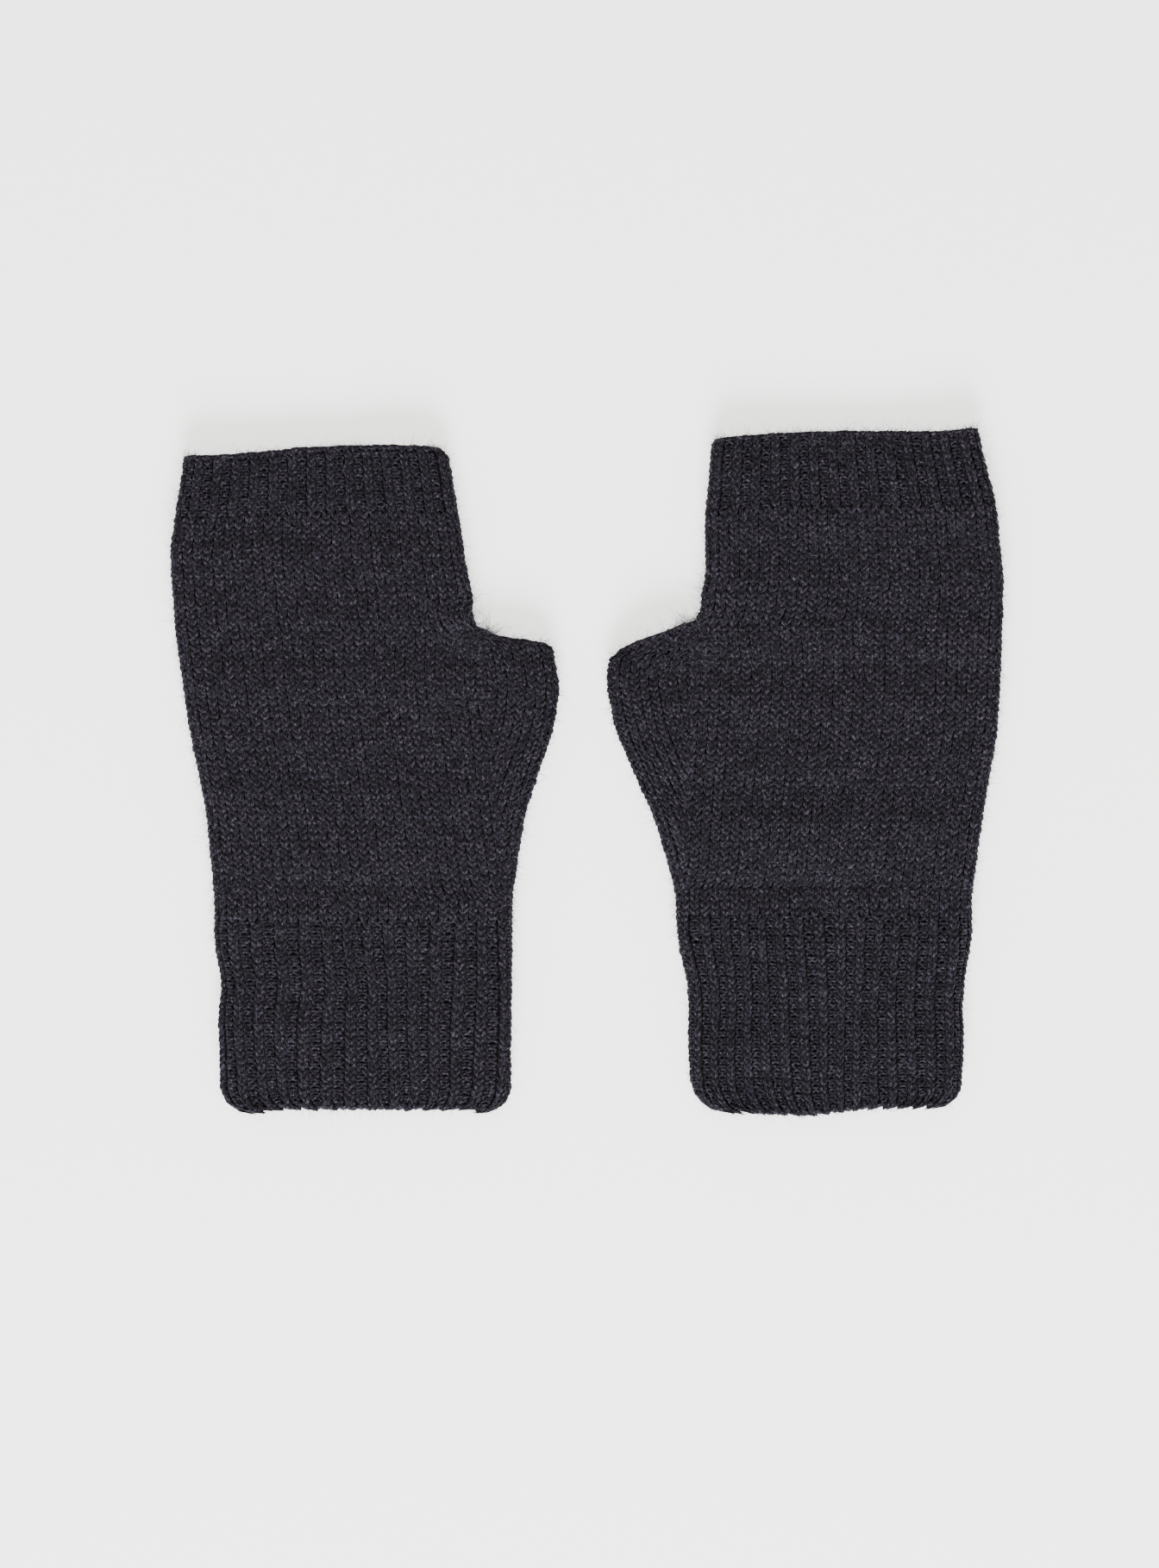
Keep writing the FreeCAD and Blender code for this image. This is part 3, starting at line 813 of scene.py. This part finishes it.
def hairMesh(count):
    # loose fibres in a row, each one a thin three-sided spike bent once
    bm = bmesh.new()
    bmesh.ops.create_cone(bm, cap_ends=True, segments=fuzz["sides"], radius1=1.0, radius2=fuzz["tip"],
                          depth=1.0)
    bmesh.ops.translate(bm, verts=bm.verts, vec=(0, 0, 0.5))
    longEdges = [e for e in bm.edges if abs(e.verts[0].co.z - e.verts[1].co.z) > 0.5]
    bmesh.ops.subdivide_edges(bm, edges=longEdges, cuts=1)
    bmesh.ops.recalc_face_normals(bm, faces=bm.faces)
    one = bpy.data.meshes.new("fibre")
    bm.to_mesh(one)
    bm.free()
    return flatSheet(one, count, 1), len(one.vertices)


def unit(vectors):
    return vectors / (np.linalg.norm(vectors, axis=1, keepdims=True) + 1e-9)


def vertexNormals(mesh):
    normals = np.empty(len(mesh.vertices) * 3, np.float32)
    mesh.vertex_normals.foreach_get("vector", normals)
    return normals.reshape(-1, 3).astype(float)


def fibreRoots(lane, sources, count):
    # places on the outside of the yarn, a good share of them round the rims, each with its normal
    rng = lane["rng"]
    places = np.concatenate([coordinates(piece.data) for piece in sources])
    normals = np.concatenate([vertexNormals(piece.data) for piece in sources])
    over = places[:, 2] - lane["thick"] / 2
    nearMiddle = np.abs(over) < fuzz["rimBand"] * mm
    outer = np.flatnonzero(nearMiddle | (normals[:, 2] * over > fuzz["facing"] * np.abs(over)))
    away = places[:, :2] - lane["centre"]
    away = away / np.linalg.norm(away, axis=1, keepdims=True)
    rim = np.flatnonzero(nearMiddle & ((normals[:, :2] * away).sum(1) > fuzz["rimFacing"]))
    pick = outer[rng.integers(0, len(outer), count)]
    atRim = rng.random(count) < fuzz["rimShare"]
    pick[atRim] = rim[rng.integers(0, len(rim), int(atRim.sum()))]
    return places[pick], normals[pick]


def addFuzz(name, lane, sources, count):
    # loose wool fibres that start in the yarn, stand out a little and bend back
    rng = lane["rng"]
    mesh, verts = hairMesh(count)
    flat = coordinates(mesh)
    number = np.arange(count).repeat(verts)
    root, out = fibreRoots(lane, sources, count)
    side = rng.normal(0, 1, (count, 3))
    side = unit(side - (side * out).sum(1, keepdims=True) * out)
    length = rng.uniform(*fuzz["length"], count)[:, None] * mm
    length = length * (1 + fuzz["longer"] * (rng.random((count, 1)) < fuzz["long"]))
    fork = np.array([lane["turn"] * lane["forkAcross"], lane["fork"], lane["thick"] / 2])
    nearFork = np.exp(-((root - fork) ** 2).sum(1, keepdims=True) / (fuzz["forkReach"] * mm) ** 2)
    length = length * (1 + fuzz["atFork"] * nearFork)
    stand = rng.uniform(*fuzz["stand"], (count, 1))
    start = stand * out + fuzz["flat"] * side
    bend = -fuzz["curl"] * stand * out + fuzz["stray"] * rng.normal(0, 1, (count, 3))
    third = unit(np.cross(start, side))
    second = np.cross(unit(start), third)
    along = flat[:, 2:]
    path = root[number] + length[number] * (start[number] * along + 0.5 * bend[number] * along * along)
    wide = (flat[:, :1] - number[:, None]) * third[number] + flat[:, 1:2] * second[number]
    where = path + fuzz["radius"] * mm * wide
    where[:, 2] = np.maximum(where[:, 2], fuzz["lowest"] * mm)
    mesh.vertices.foreach_set("co", where.ravel())
    shadeEach(mesh, rng, count, verts)
    mesh.materials.append(fuzzGlintMaterial)
    mesh.shade_smooth()
    piece = bpy.data.objects.new(name, mesh)
    bpy.context.scene.collection.objects.link(piece)
    return piece


def triangles(piece):
    return sum(len(p.vertices) - 2 for p in piece.data.polygons)


# where one piece ends and the next begins: rims in millimetres, the gusset's first stitches in wales
borders = {"fingerRim": 2, "thumbRim": 3.5, "gussetFrom": -0.6, "gussetRimFrom": -0.5}


def makeGlove(side):
    lane = measureGlove(side)
    lane["zero"] = float(lane["pinky"].min())
    lane["centre"] = np.array([lane["turn"] * (lane["pinky"].mean() + lane["handRight"].mean()) / 2,
                               (lane["low"] + lane["high"]) / 2])
    say(f"{side} glove measured")
    sheets = buildSheets(lane)
    say(f"{side} sheets laid")
    cuff, band, back, palm, gusset = (sheets[n] for n in ("cuff", "band", "back", "palm", "gusset"))
    castOn, castOff, thumbOff, fork = (sheets[n] for n in ("castOn", "castOff", "thumbOff", "fork"))
    low, high = lane["bendLow"], lane["bendHigh"]
    half = (high - low) / 2
    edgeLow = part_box(f"{side}_cuff_edge")[1].y
    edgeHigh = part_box(f"{side}_finger_edge")[0].y - borders["fingerRim"] * mm
    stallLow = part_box(f"{side}_thumb_stall")[0].y
    wale = knit["wale"] * mm

    def everything(sheet):
        return np.ones(sheet.count, bool)

    def gussetZone(sheet):
        return (np.abs(sheet.beside()) < half) & (sheet.y < lane["fork"]) & (sheet.y > high)

    inGusset = gusset.beside() > borders["gussetFrom"] * wale
    upper = gusset.y > high
    thumbSide = inGusset & upper & (gusset.beside() > half) & (gusset.y > stallLow)
    opening = gusset.row * sheets["gussetStep"] + lane["wrist"] > lane["fork"] - borders["thumbRim"] * mm
    bendSide = inGusset & upper & ~thumbSide
    wristSide = inGusset & ~upper
    rimInThumb = thumbOff.beside() > half
    rimInGusset = (thumbOff.beside() > borders["gussetRimFrom"] * wale) & ~rimInThumb
    picks = {
        "cuff_edge": [(cuff, cuff.y < edgeLow), (castOn, everything(castOn))],
        "cuff": [(cuff, (cuff.y >= edgeLow) & (cuff.y < low))],
        "wrist_knit": [(cuff, cuff.y >= low), (back, back.y < high), (palm, palm.y < high),
                       (gusset, wristSide)],
        "back_panel": [(back, (back.y >= high) & ~gussetZone(back))],
        "palm_panel": [(palm, (palm.y >= high) & ~gussetZone(palm))],
        "finger_band": [(band, band.y < edgeHigh)],
        "finger_edge": [(band, band.y >= edgeHigh), (castOff, everything(castOff))],
        "fork_join": [(fork, everything(fork))],
        "thumb_gusset": [(back, gussetZone(back)), (palm, gussetZone(palm)), (gusset, bendSide),
                         (thumbOff, rimInGusset)],
        "thumb_stall": [(gusset, thumbSide & ~opening)],
        "thumb_edge": [(gusset, thumbSide & opening), (thumbOff, rimInThumb)],
    }
    rides = {"wrist": ("cuff_edge", "cuff"), "thumb": ("thumb_stall", "thumb_edge"),
             "hand": ("back_panel", "palm_panel", "finger_band", "finger_edge", "fork_join")}
    pieces, counts = {}, {}
    for name, parts in picks.items():
        shadeLinings = [s.lining(keep) for s, keep in parts if s not in (castOn, castOff, thumbOff)]
        piece = joinMeshes(f"{side}_{name}_knit", [s.part(keep) for s, keep in parts] + shadeLinings)
        counts[name] = sum(int(keep.sum()) for _, keep in parts)
        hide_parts(f"{side}_{name}")
        pieces[name] = piece
        say(f"{piece.name}: {counts[name]} stitches, {triangles(piece)} triangles")

    def fuzzOn(label, names):
        amount = round(fuzz["perStitch"] * sum(counts[n] for n in names))
        piece = addFuzz(f"{side}_{label}_fuzz", lane, [pieces[n] for n in names], amount)
        say(f"{piece.name}: {amount} fibres, {triangles(piece)} triangles")
        return piece

    for body, names in rides.items():
        for piece in [pieces[n] for n in names] + [fuzzOn(body, names)]:
            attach(piece, f"{side}_{body}")
    for piece in (pieces["wrist_knit"], fuzzOn("wrist_fold", ["wrist_knit"])):
        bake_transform(piece)
    swing = next(j for j in frame["joints"] if j["name"] == f"{side}_thumb_swing")
    centre, axis = Vector(swing["pos_m"]), Vector(swing["axis"])
    outward = axis.cross(Vector((0, 0, 1))).normalized() * lane["turn"]
    outward = outward * half
    for piece in (pieces["thumb_gusset"], fuzzOn("thumb_fold", ["thumb_gusset"])):
        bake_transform(piece)


# the camera looks straight down on the pair, and the light comes low from the cuffs' side
studio = {"centre": (-2.0 * mm, -4.0 * mm), "height": 1.5, "viewTall": 454.75 * mm, "clipEnd": 20,
          "floorHalf": 2.5, "floorDrop": 0.2 * mm, "floorColour": (0.86, 0.85, 0.84), "floorRoughness": 0.9,
          "glowColour": (1.0, 0.985, 0.965), "floorGlow": 1.55,
          "worldColour": (1.0, 0.955, 0.91), "worldPower": 1.2, "lightColour": (0.91, 0.96, 1.0),
          "lights": {"key": {"place": (0.0, -1.5, 1.15), "size": 0.9, "power": 100.0},
                     "fill": {"place": (-0.9, 0.9, 1.7), "size": 1.6, "power": 10.0}}}


def makeStudio():
    floor = bpy.data.meshes.new("floor")
    bm = bmesh.new()
    bmesh.ops.create_grid(bm, x_segments=1, y_segments=1, size=studio["floorHalf"])
    bm.to_mesh(floor)
    bm.free()
    ground = bpy.data.objects.new("floor", floor)
    bpy.context.scene.collection.objects.link(ground)
    ground.location.z = -studio["floorDrop"]
    material, nodes, links = newMaterial("pale paper")
    paper = nodes["Principled BSDF"].inputs
    paper["Base Color"].default_value = (*studio["floorColour"], 1)
    paper["Roughness"].default_value = studio["floorRoughness"]
    paper["Emission Color"].default_value = (*studio["glowColour"], 1)
    paper["Emission Strength"].default_value = studio["floorGlow"]
    floor.materials.append(material)

    camera = bpy.data.objects.new("camera", bpy.data.cameras.new("camera"))
    bpy.context.scene.collection.objects.link(camera)
    camera.location = (*studio["centre"], studio["height"])
    camera.data.lens = camera.data.sensor_width * studio["height"] / studio["viewTall"]
    camera.data.clip_end = studio["clipEnd"]
    bpy.context.scene.camera = camera

    for name, row in studio["lights"].items():
        light = bpy.data.objects.new(name, bpy.data.lights.new(name, "AREA"))
        light.data.size = row["size"]
        light.data.energy = row["power"]
        light.data.color = studio["lightColour"]
        light.location = row["place"]
        light.rotation_euler = (-Vector(row["place"])).to_track_quat("-Z", "Y").to_euler()
        bpy.context.scene.collection.objects.link(light)

    world = bpy.data.worlds.new("studio")
    world.use_nodes = True
    sky = world.node_tree.nodes["Background"].inputs
    sky["Color"].default_value = (*studio["worldColour"], 1)
    sky["Strength"].default_value = studio["worldPower"]
    bpy.context.scene.world = world


makeStudio()
say("studio ready")
for gloveSide in gloves:
    makeGlove(gloveSide)
